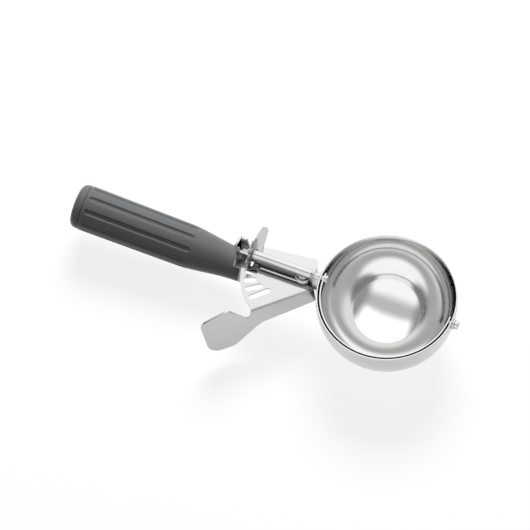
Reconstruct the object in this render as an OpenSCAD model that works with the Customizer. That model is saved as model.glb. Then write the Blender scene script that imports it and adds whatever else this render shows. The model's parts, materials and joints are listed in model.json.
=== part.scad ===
// Lever ice cream scoop (disher), size 8
// Origin: centre of the bowl's sphere, which is also on the scraper's axis.
// +X runs from the handle to the bowl along the scraper shaft, +Z is the open side of the bowl.

/* [Bowl] */
// Inside radius of the bowl
bowl_r = 36.1; // [34:0.1:40]
// Thickness of the bowl's wall
bowl_wall = 0.9; // [0.7:0.1:1.4]
// Straight band between the hemisphere and the rim
rim_h = 4; // [4:0.5:8]

/* [Scraper] */
// Diameter of the shaft that turns the scraper
shaft_d = 3.4; // [3:0.1:3.6]
// Width of the scraper's strip
blade_w = 7.4; // [6:0.1:7.6]
// Thickness of the scraper's strip
blade_t = 0.8; // [0.6:0.1:1.2]
// Gap between the scraper's strip and the bowl's wall
blade_gap = 0.7; // [0.4:0.1:1]
// Diameter of the riveted shaft end inside the bowl
blade_rivet_d = 5.2; // [4.8:0.1:6]
// Height of the riveted shaft end
blade_rivet_h = 1.6; // [1:0.1:2.5]
// How far the far pin stands inside the scraper's strip
far_pin_in = 0.6; // [0.3:0.1:1]
// Diameter of the pivot pin at the far side of the bowl
far_pin_d = 2.6; // [2.2:0.1:3]
// Diameter of the far pin's head
far_head_d = 4.6; // [4:0.1:5.4]
// Length of the far pin's head
far_head_h = 2.2; // [1.5:0.1:3]
// Diameter of the collar under the far pin's head
far_collar_d = 5.4; // [4.8:0.1:6]
// Thickness of the collar
far_collar_t = 1.1; // [0.8:0.1:1.6]

/* [Gear] */
// Outside diameter of the spacer sleeve on the shaft
sleeve_d = 4.8; // [4.4:0.1:5.2]
// Number of teeth on the star pinion
star_teeth = 8;
// Height of a tooth outside the pitch circle
tooth_rise = 1.9; // [1.7:0.1:2]
// Depth of the round body inside the pitch circle
tooth_depth = 1.8; // [1.7:0.1:2.3]
// Thickness of the pinion's plate
star_t = 1.4; // [1:0.1:1.6]
// Half width of a tooth at its root
tooth_root = 1.35; // [1.1:0.05:1.4]
// Radius of a tooth's round tip
tooth_tip = 0.7; // [0.5:0.05:0.75]
// Distance from the back plate to the pinion
star_setback = 6.8; // [6.2:0.1:8]

/* [Lever] */
// Thickness of the lever's sheet
lever_t = 1.2; // [1:0.1:1.4]
// Sheet left outside the slots
sector_rim = 1.7; // [1.4:0.1:2.2]
// Number of slots that take the pinion's teeth
slot_count = 6;
// Number of slots that share the shortest length
slot_even = 4;
// Angle from one slot to the next
slot_step = 10;
// Width of a slot
slot_w = 3.1; // [3:0.05:3.2]
// Reach of the slots outside the pitch line
slot_reach = 2.1; // [1.8:0.1:2.4]
// Length of the shortest slots
slot_len = 7; // [6.5:0.1:8]
// How much longer each further slot gets toward the fold
slot_longer = 2.8; // [0:0.1:3]
// Radius of the lever's hub
hub_r = 4.6; // [4:0.1:4.8]
// Distance from the pivot to the fold where the flange turns down
fold_off = 8.9; // [8.6:0.1:9.4]
// Straight edge of the sector beside the fold's far end
fold_edge = 0.8; // [0.6:0.1:4]
// How far the fold runs past the pivot toward the bowl
fold_lead = 2.5; // [0:0.1:2.6]
// Direction of the fold, measured from the handle toward the lever's side
fold_turn = 43; // [42:0.5:44]
// Relief beside each end of the fold
fold_relief = 0.3; // [0.2:0.1:0.8]
// Outward lean of the flange
flange_lean = 12; // [8:0.5:14]
// Outside radius of the fold
fold_r = 2; // [1.8:0.1:2.4]
// Height of the flange at the pivot end
arm_h = 9.5; // [8:0.1:10]
// How much deeper the flange gets before the paddle
arm_growth = 2.3; // [1:0.1:3]
// Radius where the flange's lower edge turns down to the paddle
belly_r = 12; // [8:0.5:16]
// Distance along the fold to the far edge of the thumb paddle
paddle_reach = 60.9; // [58:0.1:64]
// Width of the thumb paddle
paddle_w = 17.3; // [15:0.1:19]
// Depth of the thumb paddle below the fold
paddle_drop = 22.7; // [20:0.1:24]
// Height of the thumb paddle above the fold
paddle_rise = 6.1; // [4:0.1:7]
// Corner radius of the thumb paddle
paddle_r = 8; // [6:0.1:8.5]
// Depth of the notch between the sector and the paddle
notch_drop = 6.4; // [4:0.1:7]
// Width of the notch at its foot
notch_w = 1.4; // [1:0.1:3]
// Reach of the finger tab past the shaft
tab_reach = 20.2; // [16:0.1:22]
// Width of the finger tab at its root
tab_w = 7; // [6:0.1:7.5]
// Width of the finger tab at its tip
tab_tip_w = 3.9; // [3:0.1:5]
// Width of the sector on the finger tab's side of the shaft
tab_foot = 5; // [4.6:0.1:5.2]

/* [Pivot] */
// Diameter of the rivet that the lever turns on
pivot_d = 4; // [3.4:0.1:4.4]
// Distance from the front ear to the pivot
pivot_setback = 5.2; // [5:0.1:6]
// Diameter of the washer on top of the lever
washer_d = 9.4; // [8.8:0.1:9.6]
// Thickness of the washer
washer_t = 0.5; // [0.4:0.1:0.6]
// Diameter of the spacer bush inside the spring
bush_d = 5.6; // [5.2:0.1:6.2]
// Diameter of the rivet's head above the bush
pivot_head_d = 6; // [5.6:0.1:6.4]
// Thickness of the rivet's head above the bush
pivot_head_h = 0.5; // [0.4:0.1:0.6]
// Diameter of the rivet's head below the frame
pivot_foot_d = 6.4; // [5.6:0.1:7]
// Thickness of the rivet's head below the frame
pivot_foot_h = 1; // [0.6:0.1:1.4]
// Mean radius of the return spring's coil
coil_r = 4.1; // [3.9:0.1:4.2]
// Turns of the return spring
coil_turns = 1.5;
// Reach of the spring's long leg from the pivot
leg_len = 22.5; // [18:0.5:23]

/* [Frame] */
// Thickness of the frame's sheet
plate_t = 1.2; // [1:0.1:1.5]
// Distance between the front ear and the back plate
bay_len = 41.2; // [40.5:0.1:42.5]
// Gap between the front ear and the bowl
ear_gap = 3.4; // [3:0.1:5]
// Half width of the front ear
ear_r = 3.6; // [3.2:0.1:4]
// Corner radius of the frame plate
frame_corner = 1.5; // [0.5:0.1:2.5]
// Distance that the frame plate's shoulders stand behind the ear
shoulder = 2; // [1:0.1:3]
// Clearance round the pinion in the frame plate's window
window_gap = 1; // [0.6:0.1:1.3]
// Half width of the frame plate on the lever's side
near_w = 6.4; // [5.5:0.1:6.8]
// Half width of the frame plate on the open side, at the back plate
far_w_back = 8.3; // [7.5:0.1:9]
// Half width of the frame plate on the open side, at its front corner
far_w_front = 12.9; // [12:0.1:14]
// Angle of the bowl's wall that the saddle wraps, each way
saddle_turn = 20; // [16:1:24]
// Height of the saddle below the frame plate
saddle_h = 8; // [6:0.5:10]
// Half width of the back plate
back_w = 4.2; // [3.6:0.1:5]
// Height of the back plate above the shaft on the lever's side
back_h = 9.8; // [8:0.1:11]
// Height of the back plate and its wing above the shaft on the open side
wing_h = 6.8; // [5:0.1:8]
// Reach of the wing that the back plate folds forward, at its top
wing_top = 3.2; // [2:0.1:3.6]
// Reach of the wing at the shaft
wing_len = 4.4; // [3:0.1:4.6]
// Reach of the wing beside the sector
wing_foot = 2.2; // [1.4:0.1:2.4]

/* [Handle] */
// Length of the grip without its end cap
grip_len = 89.5; // [80:0.5:100]
// Distance from the shaft's axis down to the grip's front
grip_drop = 18.1; // [17.8:0.1:19]
// Distance that the grip's front reaches under the frame plate
grip_lead = 3; // [2:0.1:4]
// Angle at which the grip rises toward its butt
grip_tilt = 2.7; // [0:0.1:4]
// Thickness of the bolster that closes the grip's front
bolster_t = 1.2; // [1:0.1:2]
// Diameter of the bolster
bolster_d = 16.8; // [16:0.1:18]
// Diameter of the grip at the frame
grip_front_d = 16.8; // [16:0.1:17.4]
// Diameter of the grip where the front taper ends
grip_mid_d = 23.1; // [21:0.1:24]
// Diameter of the grip at the butt
grip_butt_d = 24.2; // [22:0.1:26]
// Length of the front taper
taper_len = 31; // [26:0.5:34]
// Share of a half wave that the front taper follows before its shoulder, in degrees
taper_wave = 150; // [120:5:180]
// Number of flutes round the grip
flute_count = 10;
// Angle from the top of the grip to its first flute
flute_turn = 6; // [0:1:18]
// Radius of the tool that cuts a flute
flute_r = 1.6; // [1:0.1:2]
// Depth of a flute
flute_depth = 1; // [0.5:0.1:1.2]
// Distance that the flutes run out past the shoulder of the taper
flute_run = 2; // [0:0.5:4]
// Distance from the flutes to the end cap
flute_back = 3; // [2:0.5:8]
// Length of the end cap
cap_len = 5; // [3:0.5:6]
// Radius of the end cap's round edge
cap_r = 3.4; // [2:0.1:4]
// Diameter of the end cap's spigot
spigot_d = 12; // [8:0.5:14]
// Length of the end cap's spigot
spigot_len = 6; // [4:0.5:10]
// Diameter of the tang inside the grip
tang_d = 6; // [5:0.1:8]
// Length of the tang
tang_len = 62; // [50:1:70]

/* [Fits] */
// Gap between flat faces that slide
slide_gap = 0.3; // [0.2:0.05:0.35]
// Radial gap of a shaft or rivet that turns in its hole
run_gap = 0.05; // [0.02:0.01:0.08]
// Gap of a pressed or welded seat
seat_gap = 0.02; // [0.01:0.01:0.04]
// Gap between the turns of the spring
coil_gap = 0.05; // [0.03:0.01:0.1]

/* [Hidden] */
$fn = 96;

cut = 1; // how far a cutting tool runs past what it cuts
lap = 0.03; // keeps the end of a rounding tool just off the face that it blends into
steel = "silver";
bright_steel = "gainsboro";
grip_grey = "dimgray";

// Places along the shaft, from the bowl back to the handle
bowl_out = bowl_r + bowl_wall;
ear_front = -bowl_out - ear_gap;
ear_back = ear_front - plate_t;
back_front = ear_back - bay_len;
back_rear = back_front - plate_t;
star_x = back_front + star_setback;
pivot_x = ear_back - pivot_setback;
grip_x = back_rear + grip_lead;

// The pinion rolls on the sector: one tooth for each slot
tooth_step = 360 / star_teeth;
gear_ratio = tooth_step / slot_step;
mesh_r = pivot_x - star_x;
pitch_r = mesh_r / gear_ratio;
star_tip_r = pitch_r + tooth_rise;
star_root_r = pitch_r - tooth_depth;
sector_z = -pitch_r;
sector_top = sector_z + lever_t / 2;
sector_low = sector_z - lever_t / 2;
first_slot = -4.8; // angle of the first slot from the shaft's line, at rest
slot_outer_r = mesh_r + slot_reach;
sector_r = slot_outer_r + sector_rim;
sector_out = fold_off - lever_t / 2; // the sector ends inside the flange's sheet
fold_len = sqrt(sector_r * sector_r - pow(sector_out - fold_edge, 2)) + fold_relief;
frame_top = sector_low - slide_gap;
frame_low = frame_top - plate_t;

// Scraper strip: a band of a sphere just inside the bowl
blade_out = bowl_r - blade_gap;
blade_in = blade_out - blade_t;
shaft_front = -blade_in + blade_rivet_h;

// The rivet, its bush and the spring fill the room between the lever and the sleeve
washer_z = sector_top + slide_gap;
bush_z = washer_z + washer_t + seat_gap;
pivot_top = -sleeve_d / 2 - slide_gap;
bush_h = pivot_top - pivot_head_h - seat_gap - bush_z;
wire_d = (pivot_top - bush_z - coil_turns * coil_gap) / (coil_turns + 1);
coil_rise = coil_turns * (wire_d + coil_gap);

// Points of an arc about [x, y], both ends included
function arc(x, y, r, from, to, steps = 12) =
    [for (i = [0:steps]) let (a = from + (to - from) * i / steps) [x + r * cos(a), y + r * sin(a)]];

function unit(v) = v / norm(v);

// One corner [x, y, r] of an outline, rounded between its neighbours
function corner(before, here, after, steps) =
    let (
        p = [here[0], here[1]],
        a = unit([before[0], before[1]] - p),
        b = unit([after[0], after[1]] - p),
        half = acos(a * b) / 2,
        mid = p + unit(a + b) * here[2] / sin(half),
        first = p + a * here[2] / tan(half) - mid,
        last = p + b * here[2] / tan(half) - mid,
        from = atan2(first[1], first[0]),
        turn = atan2(first[0] * last[1] - first[1] * last[0], first * last)
    )
    here[2] == 0 ? [p] : arc(mid[0], mid[1], here[2], from, from + turn, steps);

// Closed outline with its corners rounded
function rounded(points, steps = 8) =
    let (n = len(points))
    [for (i = [0:n - 1]) each corner(points[(i + n - 1) % n], points[i], points[(i + 1) % n], steps)];

// Cylinder along +X from x0, on the axis (y, z)
module rod(x0, length, d, y = 0, z = 0) {
    translate([x0, y, z]) rotate([0, 90, 0]) cylinder(d = d, h = length);
}

// Outline drawn in (y, z), as a sheet of thickness t whose rear face is at x0
module upright(x0, t) {
    translate([x0, 0, 0]) rotate([90, 0, 90]) linear_extrude(t) children();
}

// Half plane profile (x outward, y up) between two spheres about the origin
module shell_profile(outer, inner) {
    difference() {
        circle(r = outer);
        circle(r = inner);
    }
}

// Bowl: a hemisphere with a straight band above it, spun from one sheet
module bowl() {
    color(bright_steel) difference() {
        rotate_extrude() {
            intersection() {
                shell_profile(bowl_out, bowl_r);
                translate([0, -bowl_out - cut]) square([bowl_out + cut, bowl_out + cut]);
            }
            translate([bowl_r, 0]) square([bowl_wall, rim_h]);
        }
        rod(-bowl_out - cut, 3 * cut, shaft_d + 2 * run_gap);
        rod(bowl_r - cut, 3 * cut, far_pin_d + 2 * seat_gap);
    }
}

// Far pin: riveted through the bowl's wall, the scraper's free end turns on it
module far_pin() {
    color(steel) {
        rod(blade_in - far_pin_in, bowl_out + far_collar_t - blade_in + far_pin_in, far_pin_d);
        rod(bowl_out + far_collar_t, far_head_h, far_head_d);
    }
}

// Collar under the far pin's head, its inner face follows the bowl
module far_collar() {
    color(steel) difference() {
        rod(bowl_r, far_collar_t + bowl_wall, far_collar_d);
        cylinder(r = bowl_out + seat_gap, h = 2 * far_collar_d, center = true, $fn = 360);
        rod(bowl_r - cut, far_collar_t + bowl_wall + 2 * cut, far_pin_d + 2 * seat_gap);
    }
}

// Scraper: half ring from the shaft to the far pin, a strip of a sphere
module scraper_blade() {
    color(bright_steel) difference() {
        intersection() {
            difference() {
                sphere(r = blade_out);
                sphere(r = blade_in);
            }
            union() {
                translate([-blade_out - cut, -blade_out - cut, -blade_w / 2])
                    cube([2 * (blade_out + cut), blade_out + cut, blade_w]);
                rod(-blade_out - cut, 2 * (blade_out + cut), blade_w);
            }
        }
        rod(-blade_out - cut, blade_out, shaft_d + 2 * seat_gap);
        rod(0, blade_out + cut, far_pin_d + 2 * run_gap);
    }
}

// Riveted shaft end that holds the scraper: a short dome whose rim rests on the strip's inside
module blade_rivet() {
    rim_r = blade_rivet_d / 2;
    seat_x = -sqrt(blade_in * blade_in - rim_r * rim_r);
    color(steel) translate([seat_x + seat_gap, 0, 0]) rotate([90, 0, 90]) rotate_extrude() difference() {
        polygon(rounded([
            [0, 0, 0], [rim_r, 0, 0], [rim_r, blade_rivet_h, blade_rivet_h / 2], [0, blade_rivet_h, 0]
        ]));
        translate([0, -cut]) square([shaft_d / 2 + seat_gap, blade_rivet_h + 2 * cut]);
    }
}

// Shaft: runs from the back plate through the front ear into the bowl
module shaft() {
    color(steel) rod(back_rear + slide_gap, shaft_front - back_rear - slide_gap, shaft_d);
}

// Sleeve that spaces the pinion from the front ear
module shaft_sleeve() {
    sleeve_rear = star_x + star_t / 2 + seat_gap;
    sleeve_len = ear_back - slide_gap - sleeve_rear;
    color(steel) difference() {
        rod(sleeve_rear, sleeve_len, sleeve_d);
        rod(sleeve_rear - cut, sleeve_len + 2 * cut, shaft_d + 2 * seat_gap);
    }
}

// Star pinion: a stamped plate, one tooth enters each slot of the sector
module star_pinion() {
    tip = star_tip_r - tooth_tip;
    rest_turn = first_slot * gear_ratio - 90; // the tooth in the first slot, seen along the shaft
    color(steel) upright(star_x - star_t / 2, star_t) difference() {
        union() {
            circle(r = star_root_r);
            for (i = [0:star_teeth - 1]) rotate(-rest_turn - 180 + i * tooth_step) {
                polygon([[0, -tooth_root], [tip, -tooth_tip], [tip, tooth_tip], [0, tooth_root]]);
                translate([tip, 0]) circle(r = tooth_tip);
            }
        }
        circle(d = shaft_d + 2 * seat_gap);
    }
}

// Slot of the sector at an angle from the shaft's line
module slot(angle, length) {
    far_end = slot_outer_r - slot_w / 2;
    rotate(180 + angle) polygon(concat(
        arc(far_end, 0, slot_w / 2, -90, 90),
        arc(far_end - length + slot_w, 0, slot_w / 2, 90, 270)
    ));
}

// Point of the sheet at a distance along the fold and a distance out from the pivot's line
function fold_point(along, out) =
    out * [sin(fold_turn), -cos(fold_turn)] - along * [cos(fold_turn), sin(fold_turn)];

// Outline of the sector about the pivot, up to the fold, with the tab that stands out past the shaft
module sector_outline() {
    tip_r = tab_tip_w / 2;
    tab_root = sector_r * sin(slot_step); // the tab starts one step past the last tooth's slot
    arc_end = fold_turn + atan((sector_out - fold_edge) / (fold_len - fold_relief));
    difference() {
        polygon(concat(
            [[slot_len - mesh_r, tab_foot], [tab_w / 2 - mesh_r, tab_root]],
            arc(-mesh_r, tab_reach - tip_r, tip_r, 0, 180),
            [[-tab_w / 2 - mesh_r, tab_root]],
            arc(0, 0, sector_r, 180 - slot_step, 180 + arc_end, 24),
            [fold_point(fold_len - fold_relief, sector_out), fold_point(fold_relief - fold_lead, sector_out)],
            arc(0, 0, hub_r, fold_turn - 90, 90, 16)
        ));
        circle(d = pivot_d + 2 * run_gap);
        for (i = [0:slot_count - 1])
            slot(first_slot + i * slot_step, slot_len + slot_growth(i));
    }
}

// How much longer than the shortest a slot is
function slot_growth(i) = max(0, i + 1 - slot_even) * slot_longer;

// Outline of the flange: x along the fold from the pivot, y up from the fold
module flange_outline() {
    arm_corner = 1.5;
    notch_corner = 1.2;
    belly_off = 4; // from the notch back to where the lower edge turns down
    slant = 3.2; // how much the paddle narrows toward its foot
    slope = 4; // how much lower the far end of the paddle's top is
    paddle_x = paddle_reach - paddle_w;
    polygon(rounded([
        [-fold_lead, 0, 0], [-fold_lead, -arm_h, arm_corner], [fold_len - belly_off, -arm_h - arm_growth, belly_r],
        [paddle_x, -paddle_drop, paddle_r], [paddle_reach - slant, -paddle_drop, paddle_r],
        [paddle_reach, paddle_rise - slope, paddle_r / 2], [paddle_x + slant / 2, paddle_rise, paddle_r / 2],
        [fold_len + notch_w, -notch_drop, notch_corner], [fold_len, 0, 0]
    ]));
}

// Flange: x along the fold, y outward, z up, its outer face starts at the fold's sharp corner
module flange() {
    rotate([90 + flange_lean, 0, 0]) linear_extrude(lever_t) flange_outline();
}

// What the press takes off the sharp corner to make the fold round
module fold_rounding() {
    bend = 90 - flange_lean;
    translate([-fold_lead - cut, -fold_r * tan(bend / 2), -fold_r]) rotate([90, 0, 90])
        linear_extrude(fold_len + fold_lead + 2 * cut) polygon(concat(
            arc(0, 0, fold_r + lap, 90 - bend, 90, 8),
            [[0, fold_r + cut], [fold_r + 2 * cut, fold_r + cut]],
            [(fold_r + 2 * cut) * [cos(90 - bend), sin(90 - bend)]]
        ));
}

// Lever: one stamping with the slotted sector, its finger tab and the folded flange with its paddle
module lever() {
    color(bright_steel) translate([pivot_x, 0, 0]) difference() {
        union() {
            translate([0, 0, sector_low]) linear_extrude(lever_t) sector_outline();
            rotate([0, 0, 180 + fold_turn]) translate([0, fold_off, sector_top]) flange();
        }
        rotate([0, 0, 180 + fold_turn]) translate([0, fold_off, sector_top]) fold_rounding();
    }
}

// Frame: plate under the sector, with an ear for the shaft and a neck to the bowl
module frame() {
    shoulder_x = ear_back - shoulder;
    neck_far = ear_r + frame_corner;
    wrap_y = bowl_out * sin(saddle_turn);
    wrap_x = -bowl_out * cos(saddle_turn);
    window_w = sqrt(star_tip_r * star_tip_r - frame_top * frame_top) + window_gap;
    color(bright_steel) {
        difference() {
            translate([0, 0, frame_low]) linear_extrude(plate_t) polygon(rounded([
                [back_front + seat_gap, -near_w, 0], [shoulder_x, -near_w, frame_corner],
                [ear_front, -ear_r, frame_corner / 2], [0, -ear_r, 0], [wrap_x, wrap_y, 0],
                [ear_front, neck_far, frame_corner], [shoulder_x, far_w_front, frame_corner],
                [back_front + seat_gap, far_w_back, 0]
            ]));
            sphere(r = bowl_out + seat_gap);
            translate([star_x - star_t / 2 - window_gap, -window_w, frame_low - cut])
                cube([star_t + 2 * window_gap, 2 * window_w, plate_t + 2 * cut]);
            translate([pivot_x, 0, frame_low - cut])
                cylinder(d = pivot_d + 2 * seat_gap, h = plate_t + 2 * cut);
        }
        upright(ear_back, plate_t) difference() {
            union() {
                circle(r = ear_r);
                translate([-ear_r, frame_top - plate_t / 2]) square([2 * ear_r, plate_t / 2 - frame_top]);
            }
            circle(d = shaft_d + 2 * run_gap);
        }
    }
}

// Saddle: follows the bowl's wall below the neck and is welded to it
module bowl_saddle() {
    saddle_in = bowl_out + seat_gap;
    color(bright_steel) rotate([0, 0, 180 - saddle_turn]) rotate_extrude(angle = 2 * saddle_turn)
        intersection() {
            shell_profile(saddle_in + plate_t, saddle_in);
            translate([0, frame_low - seat_gap - saddle_h])
                square([bowl_out + 3 * plate_t, saddle_h]);
        }
}

// Back plate: stands on the frame's rear edge and carries the shaft, with a wing folded forward
module back_plate() {
    corner_r = 1.2;
    color(bright_steel) {
        upright(back_rear, plate_t) difference() {
            polygon(rounded([
                [-near_w, frame_low, 0], [far_w_back, frame_low, 0], [far_w_back, frame_top, corner_r],
                [back_w, frame_top + 2 * plate_t, 0], [back_w, wing_h, 0], [-back_w, back_h, corner_r],
                [-back_w, frame_top + 2 * plate_t, 0], [-near_w, frame_top, corner_r]
            ]));
            circle(d = shaft_d + 2 * run_gap);
        }
        translate([back_front - plate_t / 2, back_w - lap, 0]) rotate([90, 0, 0]) linear_extrude(plate_t)
            polygon(rounded([
                [0, frame_top + slide_gap, 0], [plate_t / 2 + wing_foot, frame_top + slide_gap, 0],
                [plate_t / 2 + wing_foot, -star_root_r, 0], [plate_t / 2 + wing_len, -shaft_d / 2, 0],
                [plate_t / 2 + wing_top, wing_h, corner_r], [0, wing_h - lap, 0]
            ]));
    }
}

// Places its children on the handle's axis: z runs from the grip's front to its butt, x is up
module on_grip() {
    translate([grip_x, 0, -grip_drop]) rotate([0, grip_tilt - 90, 0]) children();
}

// Bolster: closes the grip's front and is welded under the frame plate
module bolster() {
    color(bright_steel) difference() {
        on_grip() translate([0, 0, -bolster_t]) linear_extrude(bolster_t - seat_gap) {
            circle(d = bolster_d);
            translate([0, -near_w]) square([grip_drop, 2 * near_w]);
        }
        translate([grip_x - grip_drop, -near_w - cut, frame_low - seat_gap])
            cube([2 * grip_drop, 2 * (near_w + cut), 2 * grip_drop]);
    }
}

// Tang: rod from the bolster into the grip
module tang() {
    color(steel) on_grip() cylinder(d = tang_d, h = tang_len);
}

// Radius of the grip at a distance behind its front: a taper with a shoulder, then a slow swell
function grip_r(s) =
    s < taper_len
    ? (grip_front_d + (grip_mid_d - grip_front_d)
        * (1 - cos(taper_wave * s / taper_len)) / (1 - cos(taper_wave))) / 2
    : (grip_mid_d + (grip_butt_d - grip_mid_d) * (s - taper_len) / (grip_len - taper_len)) / 2;

// Grip: moulded, with flutes that end round
module handle() {
    taper_steps = 14;
    flute_from = taper_len;
    flute_to = grip_len - flute_back;
    flute_rise = grip_r(flute_to) - grip_r(flute_from);
    flute_len = norm([flute_to - flute_from, flute_rise]) + flute_run;
    flute_lean = atan(flute_rise / (flute_to - flute_from));
    color(grip_grey) on_grip() difference() {
        rotate_extrude() polygon(concat(
            [[0, 0], [grip_front_d / 2, 0]],
            [for (i = [1:taper_steps]) let (s = taper_len * i / taper_steps) [grip_r(s), s]],
            [[grip_r(grip_len), grip_len], [0, grip_len]]
        ));
        translate([0, 0, -cut]) cylinder(d = tang_d + 2 * seat_gap, h = tang_len + seat_gap + cut);
        translate([0, 0, grip_len - spigot_len - slide_gap])
            cylinder(d = spigot_d + 2 * seat_gap, h = spigot_len + slide_gap + cut);
        for (i = [0:flute_count - 1]) rotate([0, 0, flute_turn + i * 360 / flute_count])
            translate([grip_r(flute_from) + flute_r - flute_depth, 0, flute_from])
                rotate([0, flute_lean, 0]) translate([0, 0, -flute_run]) {
                    cylinder(r = flute_r, h = flute_len);
                    sphere(r = flute_r);
                    translate([0, 0, flute_len]) sphere(r = flute_r);
                }
    }
}

// End cap: a plug with a round edge, pressed into the grip's butt
module end_cap() {
    butt_r = grip_butt_d / 2;
    color(grip_grey) on_grip() rotate_extrude() polygon(concat(
        [[0, grip_len - spigot_len], [spigot_d / 2, grip_len - spigot_len],
         [spigot_d / 2, grip_len + seat_gap], [butt_r, grip_len + seat_gap]],
        arc(butt_r - cap_r, grip_len + cap_len - cap_r, cap_r, 0, 90, 8),
        [[0, grip_len + cap_len]]
    ));
}

// Rivet that the lever turns on: head below the frame plate, head above the bush
module pivot_rivet() {
    foot_z = frame_low - seat_gap - pivot_foot_h;
    color(steel) translate([pivot_x, 0, 0]) {
        translate([0, 0, foot_z]) cylinder(d = pivot_foot_d, h = pivot_foot_h);
        translate([0, 0, foot_z]) cylinder(d = pivot_d, h = pivot_top - foot_z - pivot_head_h / 2);
        translate([0, 0, pivot_top - pivot_head_h]) cylinder(d = pivot_head_d, h = pivot_head_h);
    }
}

// Bush inside the coil, rests on the washer
module pivot_bush() {
    color(steel) translate([pivot_x, 0, bush_z]) difference() {
        cylinder(d = bush_d, h = bush_h);
        translate([0, 0, -cut]) cylinder(d = pivot_d + 2 * seat_gap, h = bush_h + 2 * cut);
    }
}

// Washer between the lever and the spring
module pivot_washer() {
    color(steel) translate([pivot_x, 0, washer_z]) difference() {
        cylinder(d = washer_d, h = washer_t);
        translate([0, 0, -cut]) cylinder(d = pivot_d + 2 * seat_gap, h = washer_t + 2 * cut);
    }
}

// Round wire along a row of points that stays near one level
module wire(path, d, sides = 8) {
    n = len(path);
    rings = [for (i = [0:n - 1])
        let (
            ahead = unit(path[min(i + 1, n - 1)] - path[max(i - 1, 0)]),
            side = unit(cross(ahead, [0, 0, 1])),
            up = cross(side, ahead)
        )
        for (j = [0:sides - 1]) path[i] + d / 2 * (side * cos(360 * j / sides) + up * sin(360 * j / sides))
    ];
    walls = [for (i = [0:n - 2], j = [0:sides - 1]) let (k = (j + 1) % sides)
        [i * sides + j, (i + 1) * sides + j, (i + 1) * sides + k, i * sides + k]];
    ends = [[for (j = [0:sides - 1]) j], [for (j = [sides - 1:-1:0]) (n - 1) * sides + j]];
    polyhedron(points = rings, faces = concat(walls, ends));
}

// Torsion spring round the bush: a long leg back over the sector, a short one beside the ear
module return_spring() {
    low = bush_z + wire_d / 2;
    turn_steps = 36;
    sweep = 360 * coil_turns;
    coil = [for (i = [0:turn_steps]) let (a = -90 + sweep * i / turn_steps)
        [coil_r * cos(a), coil_r * sin(a), low + coil_rise * i / turn_steps]];
    leg = [-leg_len, -coil_r, low];
    short_leg = [pivot_setback + plate_t, coil_r, low + coil_rise];
    color(steel) translate([pivot_x, 0, 0]) wire(concat([leg], coil, [short_leg]), wire_d);
}

handle();
end_cap();
tang();
bolster();
back_plate();
frame();
bowl_saddle();
bowl();
far_pin();
far_collar();
pivot_rivet();
pivot_bush();
pivot_washer();
return_spring();
lever();
shaft();
shaft_sleeve();
star_pinion();
scraper_blade();
blade_rivet();
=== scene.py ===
import json
import math

import bmesh
import bpy
import numpy as np
from mathutils import Matrix, Vector

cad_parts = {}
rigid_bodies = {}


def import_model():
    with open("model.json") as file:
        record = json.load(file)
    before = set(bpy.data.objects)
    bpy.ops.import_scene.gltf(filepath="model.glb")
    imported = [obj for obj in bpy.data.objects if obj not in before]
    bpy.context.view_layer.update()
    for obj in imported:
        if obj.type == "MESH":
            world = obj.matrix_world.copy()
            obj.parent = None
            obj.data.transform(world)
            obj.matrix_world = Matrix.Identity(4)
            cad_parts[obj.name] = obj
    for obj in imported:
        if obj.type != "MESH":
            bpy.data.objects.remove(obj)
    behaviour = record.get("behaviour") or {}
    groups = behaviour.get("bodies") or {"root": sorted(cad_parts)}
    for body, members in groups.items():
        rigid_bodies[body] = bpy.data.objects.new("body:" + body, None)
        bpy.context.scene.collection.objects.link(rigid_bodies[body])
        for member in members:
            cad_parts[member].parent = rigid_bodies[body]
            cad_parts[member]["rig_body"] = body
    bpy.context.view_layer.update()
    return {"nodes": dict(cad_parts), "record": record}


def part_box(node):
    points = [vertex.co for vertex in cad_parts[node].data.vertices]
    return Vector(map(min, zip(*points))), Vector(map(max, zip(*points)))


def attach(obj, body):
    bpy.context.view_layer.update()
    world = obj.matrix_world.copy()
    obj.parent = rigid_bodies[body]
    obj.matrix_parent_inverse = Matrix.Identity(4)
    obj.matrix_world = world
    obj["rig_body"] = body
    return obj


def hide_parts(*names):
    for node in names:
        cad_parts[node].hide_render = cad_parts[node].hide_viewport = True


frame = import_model()
scene = bpy.context.scene
mm = 0.001  # a millimetre in the scene's metres
print("scoop: frame loaded")


class Wire:
    # One output socket: arithmetic on it adds Math nodes to its tree
    def __init__(self, tree, socket=None):
        self.tree = tree
        self.socket = socket

    def add(self, kind, settings=None, inputs=None, out=0):
        # Any node: its settings first, then the values or wires of its sockets
        node = self.tree.nodes.new(kind)
        for key, value in (settings or {}).items():
            setattr(node, key, value)
        for key, value in (inputs or {}).items():
            if isinstance(value, Wire):
                self.tree.links.new(value.socket, node.inputs[key])
            else:
                node.inputs[key].default_value = value
        return Wire(self.tree, node.outputs[out] if len(node.outputs) else None)

    def math(self, operation, *others):
        # This wire and then the others, in the order of the node's sockets
        return self.add("ShaderNodeMath", {"operation": operation}, dict(enumerate((self, *others))))

    def split(self):
        # The x, y and z of a point
        node = self.add("ShaderNodeSeparateXYZ", inputs={"Vector": self}).socket.node
        return [Wire(self.tree, output) for output in node.outputs]

    def faded(self, start, end):
        # 0 before start, 1 after end, a smooth step between
        return self.add("ShaderNodeMapRange", {"interpolation_type": "SMOOTHSTEP"},
                        {"Value": self, "From Min": start, "From Max": end})

    def __add__(self, other):
        return self.math("ADD", other)

    __radd__ = __add__

    def __sub__(self, other):
        return self.math("SUBTRACT", other)

    def __rsub__(self, other):
        return self.add("ShaderNodeMath", {"operation": "SUBTRACT"}, {0: other, 1: self})

    def __mul__(self, other):
        return self.math("MULTIPLY", other)

    __rmul__ = __mul__

    def __truediv__(self, other):
        return self.math("DIVIDE", other)


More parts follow.
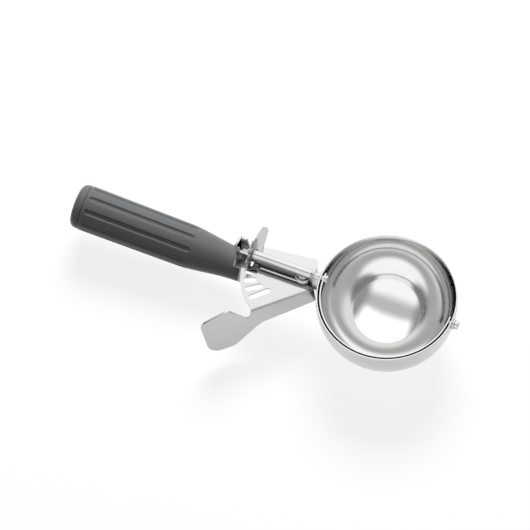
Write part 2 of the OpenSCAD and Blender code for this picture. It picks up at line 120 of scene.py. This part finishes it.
def clearedNodes(owner):
    # The emptied node tree of a material or a world, to build on
    owner.use_nodes = True
    owner.node_tree.nodes.clear()
    return Wire(owner.node_tree)


def newMaterial(name):
    material = bpy.data.materials.new(name)
    return material, clearedNodes(material)


def finishMaterial(wire, sockets):
    shader = wire.add("ShaderNodeBsdfPrincipled", inputs=sockets)
    wire.add("ShaderNodeOutputMaterial", inputs={"Surface": shader})


def objectPoint(wire, stretch=(1, 1, 1)):
    # The place on a piece in millimetres; a stretch below 1 draws a pattern out along that axis
    place = wire.add("ShaderNodeTexCoord", out="Object")
    return wire.add("ShaderNodeMapping", inputs={"Vector": place, "Scale": [s / mm for s in stretch]})


def noise(wire, point, scale, detail):
    return wire.add("ShaderNodeTexNoise", inputs={"Vector": point, "Scale": scale, "Detail": detail})


def mixed(wire, amount, first, second):
    # From first to second as amount goes from 0 to 1; each is a tint or a wire
    ends = [end if isinstance(end, Wire) else (*end, 1) for end in (first, second)]
    return wire.add("ShaderNodeMix", {"data_type": "RGBA"}, {0: amount, 6: ends[0], 7: ends[1]}, out=2)


def shaded(grey, level):
    return [min(1, channel * level) for channel in grey]


def bumped(wire, height, depth, strength):
    # depth in millimetres
    return wire.add("ShaderNodeBump", inputs={"Strength": strength, "Distance": depth * mm, "Height": height})


# A noise below is its scale and its detail; the scale is per millimetre, and for the rings per pitch
pressing = {
    "clouds": (0.12, 4), "pits": (2.4, 3), "darkest": 0.94, "lightest": 1.04,
    "cloudGloss": 0.08, "pitGloss": 0.05, "pitDepth": 0.01, "bump": 0.35,
}


def pressedSteel(name, grey, gloss, stretch=(1, 1, 1), paintedShades=()):
    # Tumbled stainless sheet: fine pits, faint clouds in colour and gloss, and painted shade: darker bands in
    # y where shadow and dark reflections fall
    material, wire = newMaterial(name)
    p = pressing
    point = objectPoint(wire)
    clouds = noise(wire, point, *p["clouds"])
    pits = noise(wire, objectPoint(wire, stretch), *p["pits"])
    base = mixed(wire, clouds, shaded(grey, p["darkest"]), shaded(grey, p["lightest"]))
    for paintedShade in paintedShades:
        # Painted shade: 1 between the two sides in y, fading over soft outside them, with a cloudy edge
        low, high = paintedShade["sides"]
        y = point.split()[1]
        away = (y - (low + high) / 2).math("ABSOLUTE") + clouds * paintedShade["soft"]
        paintedShadeCover = 1 - away.faded((high - low) / 2, (high - low) / 2 + paintedShade["soft"])
        base = mixed(wire, paintedShadeCover, base, shaded(grey, paintedShade["level"]))
    finishMaterial(wire, {
        "Base Color": base,
        "Metallic": 1.0,
        "Roughness": gloss - p["cloudGloss"] / 2 + p["cloudGloss"] * clouds + p["pitGloss"] * pits,
        "Normal": bumped(wire, pits, p["pitDepth"], p["bump"]),
    })
    return material


spinning = {
    "clouds": (0.06, 3), "rings": (1.0, 2), "darkest": 0.96, "lightest": 1.03,
    "cloudGloss": 0.04, "ringGloss": 0.03, "ringDepth": 0.004, "bump": 0.3,
}


def spunSteel(name, grey, gloss, axis, pitch, satinAndShade=None):
    # Polished on a lathe: fine rings round the axis, about pitch millimetres apart
    # On a bowl, the outside is duller, a satin finish, and darker in colour, which is painted shade
    material, wire = newMaterial(name)
    p = spinning
    point = objectPoint(wire)
    x, y, z = point.split()
    along, across = (z, x * x + y * y) if axis == "z" else (x, y * y + z * z)
    lathe = wire.add("ShaderNodeCombineXYZ", inputs={"X": across.math("SQRT") / pitch, "Y": along / pitch})
    rings = noise(wire, lathe, *p["rings"])
    clouds = noise(wire, point, *p["clouds"])
    base = mixed(wire, clouds, shaded(grey, p["darkest"]), shaded(grey, p["lightest"]))
    polish = gloss - p["cloudGloss"] / 2 + p["cloudGloss"] * clouds + p["ringGloss"] * rings
    if satinAndShade:
        # Farther than the radius from the ball's centre, or from the axis where z is above the centre
        below = z.math("MINIMUM", 0.0)
        outside = (x * x + y * y + below * below).math("SQRT").math("GREATER_THAN", satinAndShade["radius"])
        # Painted shade: the outside's colour is darkened to the given level
        base = mixed(wire, outside, base, shaded(grey, satinAndShade["level"]))
        polish = polish + outside * satinAndShade["gloss"]
    finishMaterial(wire, {
        "Base Color": base,
        "Metallic": 1.0,
        "Roughness": polish,
        "Normal": bumped(wire, rings, p["ringDepth"], p["bump"]),
    })
    return material


nylon = {
    "clouds": (0.09, 4), "grain": (3.2, 2), "dark": (0.120, 0.126, 0.131), "light": (0.146, 0.152, 0.158),
    "gloss": 0.3, "cloudGloss": 0.1, "grainGloss": 0.06, "grainDepth": 0.03, "bump": 0.4,
    "ior": 1.5, "specular": 0.4,
}


def mouldedNylon(name):
    # Satin nylon: fine spark-eroded grain and a faint sheen that comes and goes
    material, wire = newMaterial(name)
    p = nylon
    point = objectPoint(wire)
    clouds = noise(wire, point, *p["clouds"])
    grain = noise(wire, point, *p["grain"])
    finishMaterial(wire, {
        "Base Color": mixed(wire, clouds, p["dark"], p["light"]),
        "Roughness": p["gloss"] + p["cloudGloss"] * clouds + p["grainGloss"] * grain,
        "Normal": bumped(wire, grain, p["grainDepth"], p["bump"]),
        "IOR": p["ior"],
        "Specular IOR Level": p["specular"],
    })
    return material


# Gloss is the shader's roughness. A painted shade's sides are its edges in y and soft is its fade, in
# millimetres; its level darkens the colour
# Painted shade on the lever: a dark band along the sleeve where its shadow and dark reflection fall on the
# sector, and a milder painted shade beyond y 3, over the tab
leverPaintedShades = (
    {"sides": (-6.6, 1.0), "soft": 0.9, "level": 0.26},
    {"sides": (3.0, 40.0), "soft": 2.0, "level": 0.74},
)
# Painted shade on the frame plate under the sleeve, where it lies in shadow and mirrors dark parts
framePaintedShades = ({"sides": (-12.0, -2.0), "soft": 4.0, "level": 0.4},)
# Painted shade on the back plate from y -9 to -1, where it lies in shadow
platePaintedShades = ({"sides": (-9.0, -1.0), "soft": 4.0, "level": 0.35},)
# The bowl's outside: its added gloss is a satin finish, its darker colour level is painted shade
bowlSatinAndShade = {"radius": 36.6, "level": 0.79, "gloss": 0.14}
drawnAlong = (1 / 15, 4 / 3, 4 / 3)  # the sleeve's pits run out into streaks along x
finishes = {
    "grip": mouldedNylon("gripNylon"),
    "bowl": spunSteel("bowlSteel", (0.79, 0.786, 0.78), gloss=0.07, axis="z", pitch=0.35, satinAndShade=bowlSatinAndShade),
    "strip": pressedSteel("stripSteel", (0.70, 0.695, 0.69), gloss=0.1),
    # Painted shade: the stampings' rolled edges take this darker finish
    "edge": pressedSteel("rolledEdgePaintedShade", (0.30, 0.296, 0.292), gloss=0.3),
    "lever": pressedSteel("leverSteel", (0.56, 0.556, 0.552), gloss=0.17, paintedShades=leverPaintedShades),
    "frame": pressedSteel("frameSteel", (0.59, 0.586, 0.582), gloss=0.15, paintedShades=framePaintedShades),
    "plate": pressedSteel("plateSteel", (0.60, 0.596, 0.592), gloss=0.3, paintedShades=platePaintedShades),
    # Painted shade: the pinion is darker than the other steel, for the shadow it lies in under the shaft
    "pinion": pressedSteel("pinionSteelPaintedShade", (0.30, 0.296, 0.292), gloss=0.2),
    "sleeve": pressedSteel("sleeveSteel", (0.60, 0.596, 0.592), gloss=0.09, stretch=drawnAlong),
    "turned": spunSteel("turnedSteel", (0.60, 0.595, 0.59), gloss=0.1, axis="x", pitch=0.2),
    "wire": pressedSteel("springWire", (0.60, 0.595, 0.585), gloss=0.12),
}
print("scoop: finishes mixed")

# merge is in millimetres, flat and sharp are angles in degrees
sealing = {"merge": 0.0001, "sharp": 35}
rolling = {"merge": 0.002, "flat": 1.0, "sharp": 40, "segments": 3}
axes = {"x": ((1, 0, 0), (0, 1, 0), (0, 0, 1)), "z": ((0, 0, 1), (1, 0, 0), (0, 1, 0))}


def finishedPiece(name, node, finish, mesh, sharpAngle):
    # The piece stands for its CAD node: it rides on the same body, and the node is hidden
    mesh.shade_smooth()
    mesh.set_sharp_from_angle(angle=math.radians(sharpAngle))
    mesh.materials.clear()
    mesh.materials.append(finishes[finish])
    piece = bpy.data.objects.new(name, mesh)
    scene.collection.objects.link(piece)
    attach(piece, frame["nodes"][node]["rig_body"])
    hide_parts(node)
    return piece


def ringFaces(rows, columns, capped):
    # Quads between neighbouring rings of a grid, one ring to a row; capped shuts the first and the last ring
    i, j = (a.ravel() for a in np.meshgrid(np.arange(rows - 1), np.arange(columns), indexing="ij"))
    here, above = i * columns, (i + 1) * columns
    following = (j + 1) % columns
    faces = np.stack([here + j, here + following, above + following, above + j], 1).tolist()
    if capped:
        faces += [list(range(columns)), list(range((rows - 1) * columns, rows * columns))]
    return faces


def ringedPiece(name, node, finish, grid, capped=False, sharpAngle=sealing["sharp"]):
    # grid holds points in millimetres, each row of them a closed ring
    mesh = bpy.data.meshes.new(name)
    mesh.from_pydata((grid.reshape(-1, 3) * mm).tolist(), [], ringFaces(*grid.shape[:2], capped))
    sealed = bmesh.new()
    sealed.from_mesh(mesh)
    bmesh.ops.remove_doubles(sealed, verts=sealed.verts, dist=sealing["merge"] * mm)
    bmesh.ops.recalc_face_normals(sealed, faces=sealed.faces)
    sealed.to_mesh(mesh)
    sealed.free()
    finishedPiece(name, node, finish, mesh, sharpAngle)


def turnedPiece(name, node, finish, profile, axis="x", centre=(0, 0, 0), segments=96):
    # profile holds (r, l): centre + l * main + r * (side cos a + up sin a)
    main, side, up = (np.array(v, float) for v in axes[axis])
    a = np.linspace(0, 2 * np.pi, segments, endpoint=False)
    ring = np.cos(a)[:, None] * side + np.sin(a)[:, None] * up
    grid = np.array(centre) + profile[:, None, 1:] * main + profile[:, None, :1] * ring
    ringedPiece(name, node, finish, grid)


def pressedPiece(name, node, finish, edge):
    # A stamping: the CAD sheet with its edges rolled over, as a press and tumbling leave them
    mesh = frame["nodes"][node].data.copy()
    mesh.name = name
    sheet = bmesh.new()
    sheet.from_mesh(mesh)
    bmesh.ops.remove_doubles(sheet, verts=sheet.verts, dist=rolling["merge"] * mm)
    bmesh.ops.dissolve_limit(sheet, angle_limit=math.radians(rolling["flat"]), verts=sheet.verts,
                             edges=sheet.edges)
    sheet.to_mesh(mesh)
    sheet.free()
    piece = finishedPiece(name, node, finish, mesh, rolling["sharp"])
    mesh.materials.append(finishes["edge"])
    bevel = piece.modifiers.new("rolledEdgePaintedShade", "BEVEL")
    bevel.width = edge * mm
    bevel.segments = rolling["segments"]
    bevel.limit_method = "ANGLE"
    bevel.angle_limit = math.radians(rolling["sharp"])
    bevel.use_clamp_overlap = True
    bevel.harden_normals = True
    # The edge finish is darker than the sheet: painted shade along the rolled edges
    bevel.material = 1  # the slot of the edge finish


def arcPoints(centre, radius, fromAngle, toAngle, steps):
    # centre + radius (cos a, sin a), a in degrees
    a = np.radians(np.linspace(fromAngle, toAngle, steps + 1))
    return np.stack([centre[0] + radius * np.cos(a), centre[1] + radius * np.sin(a)], 1)


def roundedLine(corners, steps=5):
    # Corners (x, y, r): each inner one becomes an arc that touches both its neighbours' lines
    line = [np.array([corners[0][:2]])]
    for before, (x, y, r), after in zip(corners[:-2], corners[1:-1], corners[2:]):
        here = np.array([x, y])
        if r == 0:
            line.append(here[None])
            continue
        a, b = (np.array(end[:2]) - here for end in (before, after))
        a, b = a / np.linalg.norm(a), b / np.linalg.norm(b)
        half = math.acos(float(np.clip(a @ b, -1, 1))) / 2
        middle = here + (a + b) / np.linalg.norm(a + b) * r / math.sin(half)
        first, last = (here + v * r / math.tan(half) - middle for v in (a, b))
        start = math.degrees(math.atan2(first[1], first[0]))
        turn = math.degrees(math.atan2(first[0] * last[1] - first[1] * last[0], first @ last))
        line.append(arcPoints(middle, r, start, start + turn, steps))
    line.append(np.array([corners[-1][:2]]))
    return np.concatenate(line)


def boredProfile(bore, radius, low, high, rounds):
    # Section of a bored piece from low to high; rounds are its low rim, its high rim and the bore's high edge
    lowRim, highRim, boreEdge = rounds
    return roundedLine([(bore, low, 0), (radius, low, lowRim), (radius, high, highRim),
                        (bore, high, boreEdge), (bore, low, 0)])


def boxOf(node):
    # Lowest and highest corner, in millimetres
    low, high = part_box(node)
    return np.array(low) / mm, np.array(high) / mm


def pointsOf(node):
    # Corners of a CAD node's mesh, in millimetres
    vertices = frame["nodes"][node].data.vertices
    flat = np.empty(3 * len(vertices))
    vertices.foreach_get("co", flat)
    return flat.reshape(-1, 3) / mm


bowlSize = {"wall": 0.9, "bandFoot": 0.5, "lipRound": 0.4, "lipSteps": 4, "wallSteps": 71, "segments": 256}
bowlLow, bowlHigh = boxOf("bowl")
rimTop = bowlHigh[2]


def bowlProfile():
    # r = R cos a, z = R sin a from the lowest point to the ball's middle, then a straight band and a round
    # lip, and the same back down inside
    s = bowlSize
    outer, inner = bowlHigh[0], bowlHigh[0] - s["wall"]
    outside, inside = (arcPoints((0, 0), radius, -90, 0, s["wallSteps"]) for radius in (outer, inner))
    lip = roundedLine([(outer, s["bandFoot"], 0), (outer, rimTop, s["lipRound"]),
                       (inner, rimTop, s["lipRound"]), (inner, s["bandFoot"], 0)], s["lipSteps"])
    profile = np.concatenate([outside, lip, inside[::-1]])
    profile[[0, -1], 0] = 0  # both poles on the axis
    return profile


turnedPiece("spunBowl", "bowl", "bowl", bowlProfile(), "z", segments=bowlSize["segments"])
print("scoop: bowl spun")

stripSize = {"thick": 0.8, "edge": 0.25, "edgeSteps": 3, "steps": 160, "tip": 0.01}
stripHigh = boxOf("scraper_blade")[1]


def scraperStrip():
    # A strip of a ball: (q cos a, -q sin a, w) with q = sqrt(R^2 - w^2) and w across the strip. Past the
    # pivots its half width falls as sqrt(W^2 - (R sin p)^2) to a round end
    s = stripSize
    outer, widest = stripHigh[0], stripHigh[2]
    inner = outer - s["thick"]
    reach = math.asin(widest / outer)
    a = np.linspace(-reach, math.pi + reach, s["steps"])
    past = np.clip(np.maximum(-a, a - math.pi), 0, None)
    half = np.sqrt(np.clip(widest ** 2 - (outer * np.sin(past)) ** 2, s["tip"] ** 2, None))
    section = roundedLine([(0, inner, 0), (-1, inner, s["edge"]), (-1, outer, s["edge"]),
                           (1, outer, s["edge"]), (1, inner, s["edge"]), (0, inner, 0)], s["edgeSteps"])[:-1]
    inset = 1 - np.abs(section[:, 0])
    across = np.sign(section[:, 0]) * np.clip(half[:, None] - inset, 0, None)
    level = np.sqrt(section[:, 1] ** 2 - across ** 2)
    return np.stack([level * np.cos(a)[:, None], -level * np.sin(a)[:, None], across], 2)


ringedPiece("scraperStrip", "scraper_blade", "strip", scraperStrip(), capped=True)

shaftSize = {"end": 0.3, "fit": 0.02}  # fit is the room left round it in the rivet and sleeve
shaftLow, shaftHigh = boxOf("shaft")
shaftR = shaftHigh[2]
shaftBore = shaftR + shaftSize["fit"]
turnedPiece("scraperShaft", "shaft", "turned", roundedLine([
    (0, shaftLow[0], 0), (shaftR, shaftLow[0], shaftSize["end"]),
    (shaftR, shaftHigh[0], shaftSize["end"]), (0, shaftHigh[0], 0)]))

rivetSize = {"rounds": (0.1, 0.8, 0.1)}
rivetLow, rivetHigh = boxOf("blade_rivet")
turnedPiece("scraperRivet", "blade_rivet", "turned",
            boredProfile(shaftBore, rivetHigh[2], rivetLow[0], rivetHigh[0], rivetSize["rounds"]))

sleeveSize = {"rounds": (0.35, 0.35, 0)}
sleeveLow, sleeveHigh = boxOf("shaft_sleeve")
turnedPiece("shaftSleeve", "shaft_sleeve", "sleeve",
            boredProfile(shaftBore, sleeveHigh[2], sleeveLow[0], sleeveHigh[0], sleeveSize["rounds"]))

# Width of the rolled edge on each stamping
rolledEdgePaintedShade = {"pinion": 0.2, "collar": 0.15, "plates": 0.3, "bolster": 0.25}
pressedPiece("starPinion", "star_pinion", "pinion", rolledEdgePaintedShade["pinion"])
print("scoop: scraper and pinion made")

pinSize = {"shank": 1.3, "dome": 0.9, "foot": 0.3, "headEdge": 0.15, "steps": 6}
pinLow, pinHigh = boxOf("far_pin")
pinHeadFoot = boxOf("far_collar")[1][0]
turnedPiece("farPin", "far_pin", "turned", roundedLine([
    (0, pinLow[0], 0), (pinSize["shank"], pinLow[0], pinSize["foot"]), (pinSize["shank"], pinHeadFoot, 0),
    (pinHigh[2], pinHeadFoot, pinSize["headEdge"]), (pinHigh[2], pinHigh[0], pinSize["dome"]),
    (0, pinHigh[0], 0)], pinSize["steps"]))
pressedPiece("farCollar", "far_collar", "turned", rolledEdgePaintedShade["collar"])

for name, node, finish in (("thumbLever", "lever", "lever"), ("framePlate", "frame", "frame"),
                           ("backPlate", "back_plate", "plate"), ("bowlSaddle", "bowl_saddle", "frame")):
    pressedPiece(name, node, finish, rolledEdgePaintedShade["plates"])
print("scoop: stampings rolled")

pivotSize = {
    "shank": 2.0, "head": 3.0, "headHeight": 0.5, "headFootRound": 0.1, "headTopRound": 0.35,
    "footHeight": 1.0, "footRound": 0.5, "bore": 2.02, "ringRounds": (0.12, 0.12, 0),
}
pivotLow, pivotHigh = boxOf("pivot_rivet")
pivotX = (pivotLow[0] + pivotHigh[0]) / 2


def pivotProfile():
    # Riveted foot, shank, then a thin head
    s = pivotSize
    low, high = pivotLow[2], pivotHigh[2]
    footTop, headFoot = low + s["footHeight"], high - s["headHeight"]
    footR = pivotHigh[1]
    return roundedLine([
        (0, low, 0), (footR, low, s["footRound"]), (footR, footTop, 0), (s["shank"], footTop, 0),
        (s["shank"], headFoot, 0), (s["head"], headFoot, s["headFootRound"]),
        (s["head"], high, s["headTopRound"]), (0, high, 0)])


turnedPiece("pivotRivet", "pivot_rivet", "turned", pivotProfile(), "z", (pivotX, 0, 0))
for name, node in (("pivotBush", "pivot_bush"), ("pivotWasher", "pivot_washer")):
    low, high = boxOf(node)
    ring = boredProfile(pivotSize["bore"], high[1], low[2], high[2], pivotSize["ringRounds"])
    turnedPiece(name, node, "turned", ring, "z", (pivotX, 0, 0))

springSize = {"coil": 4.1, "turns": 1.5, "steps": 120, "longSteps": 11, "shortSteps": 7, "round": 14}
springLow, springHigh = boxOf("return_spring")
wireR = springHigh[1] - springSize["coil"]


def springPath():
    # Straight leg, then (r cos a, r sin a, rising), then a straight leg beside the ear
    s = springSize
    r = s["coil"]
    low, high = springLow[2] + wireR, springHigh[2] - wireR
    a = np.radians(np.linspace(-90, -90 + 360 * s["turns"], s["steps"]))
    coil = np.stack([pivotX + r * np.cos(a), r * np.sin(a), np.linspace(low, high, s["steps"])], 1)
    longX = np.linspace(springLow[0], pivotX, s["longSteps"] + 1)[:-1]
    longLeg = np.stack([longX, np.full_like(longX, -r), np.full_like(longX, low)], 1)
    shortX = np.linspace(pivotX, springHigh[0], s["shortSteps"] + 1)[1:]
    shortLeg = np.stack([shortX, np.full_like(shortX, r), np.full_like(shortX, high)], 1)
    return np.concatenate([longLeg, coil, shortLeg])


def wirePoints(path, radius, sides):
    # path + radius (side cos b + up sin b), side and up square to the path
    ahead = np.gradient(path, axis=0)
    ahead /= np.linalg.norm(ahead, axis=1, keepdims=True)
    side = np.cross(ahead, (0, 0, 1))
    side /= np.linalg.norm(side, axis=1, keepdims=True)
    up = np.cross(side, ahead)
    b = np.linspace(0, 2 * np.pi, sides, endpoint=False)[:, None]
    return path[:, None] + radius * (np.cos(b) * side[:, None] + np.sin(b) * up[:, None])


ringedPiece("returnSpring", "return_spring", "wire", wirePoints(springPath(), wireR, springSize["round"]),
            capped=True)
print("scoop: spring wound")

butt = next(mount for mount in frame["record"]["mounts"] if mount["name"] == "handle_butt")
gripButt = np.array(butt["pos_m"]) / mm
gripAxis = np.array(butt["axis"]) / np.linalg.norm(butt["axis"])
gripUp = np.cross((0, 1, 0), gripAxis)


def alongGrip(node):
    # Least and greatest distance of a node in front of the butt's face, then its radius about the axis
    offset = pointsOf(node) - gripButt
    ahead = -(offset @ gripAxis)
    across = offset + ahead[:, None] * gripAxis
    return ahead.min(), ahead.max(), np.linalg.norm(across, axis=1).max()


def onGrip(ahead, radius, turn):
    # butt - ahead * axis + radius (up cos turn + y sin turn)
    rim = np.cos(turn)[..., None] * gripUp + np.sin(turn)[..., None] * np.array((0, 1, 0))
    return gripButt - ahead[..., None] * gripAxis + radius[..., None] * rim


gripBack, gripFront, gripR = alongGrip("handle")
gripLen = gripFront - gripBack
gripSize = {
    # Radii, the length of the front taper and how much of a cosine it follows
    "frontR": 8.4, "midR": 11.55, "buttR": gripR, "taper": 31.0, "wave": math.radians(150),
    # Flutes: how many, where the first one stands, the cutter's radius and depth, where they start and end
    "flutes": 10, "fluteTurn": math.radians(0.5), "fluteR": 1.6, "fluteDepth": 1.0,
    "fluteFrom": 29.0, "fluteTo": gripLen - 3.6,
    # How softly a flute meets the grip, how far off the cutter stands elsewhere, and the end's quarter round
    "soft": 0.14, "clear": 1.0, "edge": 0.8, "edgeShares": (0.0, 0.1, 0.35, 0.7, 1.0),
    "around": 400, "along": 190, "sharp": 50,
}


def gripRadius(s):
    # Part of a cosine over the front taper, then a straight swell to the butt
    g = gripSize
    rise = (1 - np.cos(g["wave"] * s / g["taper"])) / (1 - math.cos(g["wave"]))
    front = g["frontR"] + (g["midR"] - g["frontR"]) * rise
    back = g["midR"] + (g["buttR"] - g["midR"]) * (s - g["taper"]) / (gripLen - g["taper"])
    return np.where(s < g["taper"], front, back)


def flutedRadius(s, a):
    # The lesser of the radius and the near side of a round-ended cutter c cos d - sqrt(f^2 - c^2 sin^2 d),
    # blended as r - k log(1 + e^((r - cutter) / k))
    g = gripSize
    base = gripRadius(s)
    pitch = 2 * np.pi / g["flutes"]
    d = (a - g["fluteTurn"] + pitch / 2) % pitch - pitch / 2
    c = np.where(s < g["taper"], g["midR"], base) + g["fluteR"] - g["fluteDepth"]
    overrun = np.clip(np.maximum(g["fluteFrom"] - s, s - g["fluteTo"]), 0, None)
    free = g["fluteR"] ** 2 - overrun ** 2 - (c * np.sin(d)) ** 2
    cutter = np.where(free > 0, c * np.cos(d) - np.sqrt(np.clip(free, 0, None)), base + g["clear"])
    return base - g["soft"] * np.logaddexp(0, (base - cutter) / g["soft"])


def gripSurface():
    # s runs from the front and a round the grip; both ends roll over with a quarter round
    g = gripSize
    ends = g["edge"] * np.array(g["edgeShares"])
    middle = np.linspace(ends[-1], gripLen - ends[-1], g["along"])[1:-1]
    s = np.concatenate([ends, middle, gripLen - ends[::-1]])
    a = np.linspace(0, 2 * np.pi, g["around"], endpoint=False)
    s, a = np.meshgrid(s, a, indexing="ij")
    inEnd = 1 - np.clip(np.minimum(s, gripLen - s) / g["edge"], 0, 1)
    radius = flutedRadius(s, a) - g["edge"] * (1 - np.sqrt(1 - inEnd ** 2))
    return onGrip(gripFront - s, radius, a)


ringedPiece("flutedGrip", "handle", "grip", gripSurface(), capped=True, sharpAngle=gripSize["sharp"])

capSize = {
    "spigot": 6.0, "seat": 0.02, "inset": 0.25, "lip": 0.35, "round": 3.4, "crown": 0.25,
    "steps": 12, "segments": 160,
}
capFace, capFront, capR = alongGrip("end_cap")


def capProfile():
    # (radius, ahead): a spigot inside the grip, then a rim with a wide round over to a low crown
    s = capSize
    foot, rim = gripBack - s["seat"], capR - s["inset"]
    return roundedLine([
        (0, capFront, 0), (s["spigot"], capFront, 0), (s["spigot"], foot, 0), (rim, foot, s["lip"]),
        (rim, capFace + s["crown"], s["round"]), (0, capFace, 0)], s["steps"])


capLine = capProfile()
capTurn = np.linspace(0, 2 * np.pi, capSize["segments"], endpoint=False)
ringedPiece("gripCap", "end_cap", "grip", onGrip(capLine[:, 1:], capLine[:, :1], capTurn))
pressedPiece("gripBolster", "bolster", "frame", rolledEdgePaintedShade["bolster"])
tangMaterials = frame["nodes"]["tang"].data.materials  # the tang stays as the CAD solid
tangMaterials.clear()
tangMaterials.append(finishes["turned"])
print("scoop: grip moulded")

studio = {
    # Floor: its height and half its side, its own shade and the white it shows
    "floorZ": bowlLow[2] * mm, "floorHalf": 8.0, "paper": 0.2, "paperRough": 0.9, "glow": 0.84,
    # Room: the share of its light that dull surfaces get, the level of its walls and of the two panels
    "dim": 0.08, "shade": 0.36, "between": 0.25, "frontPanel": 0.57, "backPanel": 0.88,
    # The gap between the panels in degrees, where the panels end in x, and the pale cove above the floor
    "gap": 108.0, "gapHalf": 5.0, "gapSoft": 26.0, "ends": (0.55, 0.78), "cove": 0.5, "coveTop": 0.3,
}


def seenDirectly(wire):
    # 1 for camera, mirror and glass rays: these see white paper, and its shadow
    kinds = ("Is Camera Ray", "Is Glossy Ray", "Is Transmission Ray")
    return sum(wire.add("ShaderNodeLightPath", out=kind) for kind in kinds)


floorMesh = bpy.data.meshes.new("studioFloor")
half, level = studio["floorHalf"], studio["floorZ"]
floorCorners = [(x * half, y * half, level) for x, y in ((-1, -1), (1, -1), (1, 1), (-1, 1))]
floorMesh.from_pydata(floorCorners, [], [(0, 1, 2, 3)])
paper, wire = newMaterial("studioPaper")
finishMaterial(wire, {
    "Base Color": (studio["paper"],) * 3 + (1,),
    "Roughness": studio["paperRough"],
    "Specular IOR Level": 0.0,
    "Emission Color": seenDirectly(wire) * studio["glow"],
    "Emission Strength": 1.0,
})
floorMesh.materials.append(paper)
floor = bpy.data.objects.new("studioFloor", floorMesh)
scene.collection.objects.link(floor)

scene.world = bpy.data.worlds.new("studioWorld")
sky = clearedNodes(scene.world)
x, y, z = sky.add("ShaderNodeTexCoord", out="Generated").split()
# Two long panels over the bench, before and behind a soft gap at the angle t = atan2(z, y), both open at
# their ends
t = z.math("ARCTAN2", y) * math.degrees(1)
front = t.faded(studio["gap"] + studio["gapHalf"], studio["gap"] + studio["gapSoft"])
rear = t.faded(studio["gap"] - studio["gapHalf"], studio["gap"] - studio["gapSoft"])
across = 1 - x.math("ABSOLUTE").faded(*studio["ends"])
low = z.faded(studio["coveTop"], 0.0)
panels = studio["between"] + front * studio["frontPanel"] + rear * studio["backPanel"]
room = studio["shade"] + panels * across + low * studio["cove"]
glow = (seenDirectly(sky) * (1 - studio["dim"]) + studio["dim"]) * room
skyLight = sky.add("ShaderNodeBackground", inputs={"Color": glow, "Strength": 1.0})
sky.add("ShaderNodeOutputWorld", inputs={"Surface": skyLight})

softbox = {"place": (-0.35, 1.05, 1.2), "target": (-0.05, 0, 0), "size": (0.9, 0.7), "watts": 31}
light = bpy.data.lights.new("keySoftbox", "AREA")
light.shape = "RECTANGLE"
light.size, light.size_y = softbox["size"]
light.energy = softbox["watts"]
lamp = bpy.data.objects.new("keySoftbox", light)
lamp.location = softbox["place"]
beam = Vector(softbox["target"]) - Vector(softbox["place"])
lamp.rotation_euler = beam.to_track_quat("-Z", "Y").to_euler()
lamp.visible_glossy = False  # the panels stand for it in the steel
scene.collection.objects.link(lamp)

# The camera's right and up, and the pixel on which the middle of the bowl's rim lies
view = {
    "right": (0.9268, 0.3750, -0.0159), "up": (-0.3246, 0.8220, 0.4677),
    "pixelsPerMm": 1.923, "distance": 5.0, "sensor": 36.0, "frameWidth": 530, "clipEnd": 100,
    "rimPixel": (386.7, 297.2),
}
right = Vector(view["right"]).normalized()
up = Vector(view["up"])
up = (up - right * up.dot(right)).normalized()
back = right.cross(up)
middle = view["frameWidth"] / 2
offRight = (middle - view["rimPixel"][0]) / view["pixelsPerMm"] * mm
offUp = (view["rimPixel"][1] - middle) / view["pixelsPerMm"] * mm
aim = Vector((0, 0, rimTop * mm)) + right * offRight + up * offUp
cameraData = bpy.data.cameras.new("photoCamera")
cameraData.sensor_width = view["sensor"]
cameraData.clip_end = view["clipEnd"]
cameraData.lens = view["sensor"] * view["pixelsPerMm"] * view["distance"] / mm / view["frameWidth"]
camera = bpy.data.objects.new("photoCamera", cameraData)
turned = Matrix((right, up, back)).transposed().to_4x4()
camera.matrix_world = Matrix.Translation(aim + back * view["distance"]) @ turned
scene.collection.objects.link(camera)
scene.camera = camera
scene.view_settings.view_transform = "Standard"
print("scoop: studio and camera set")
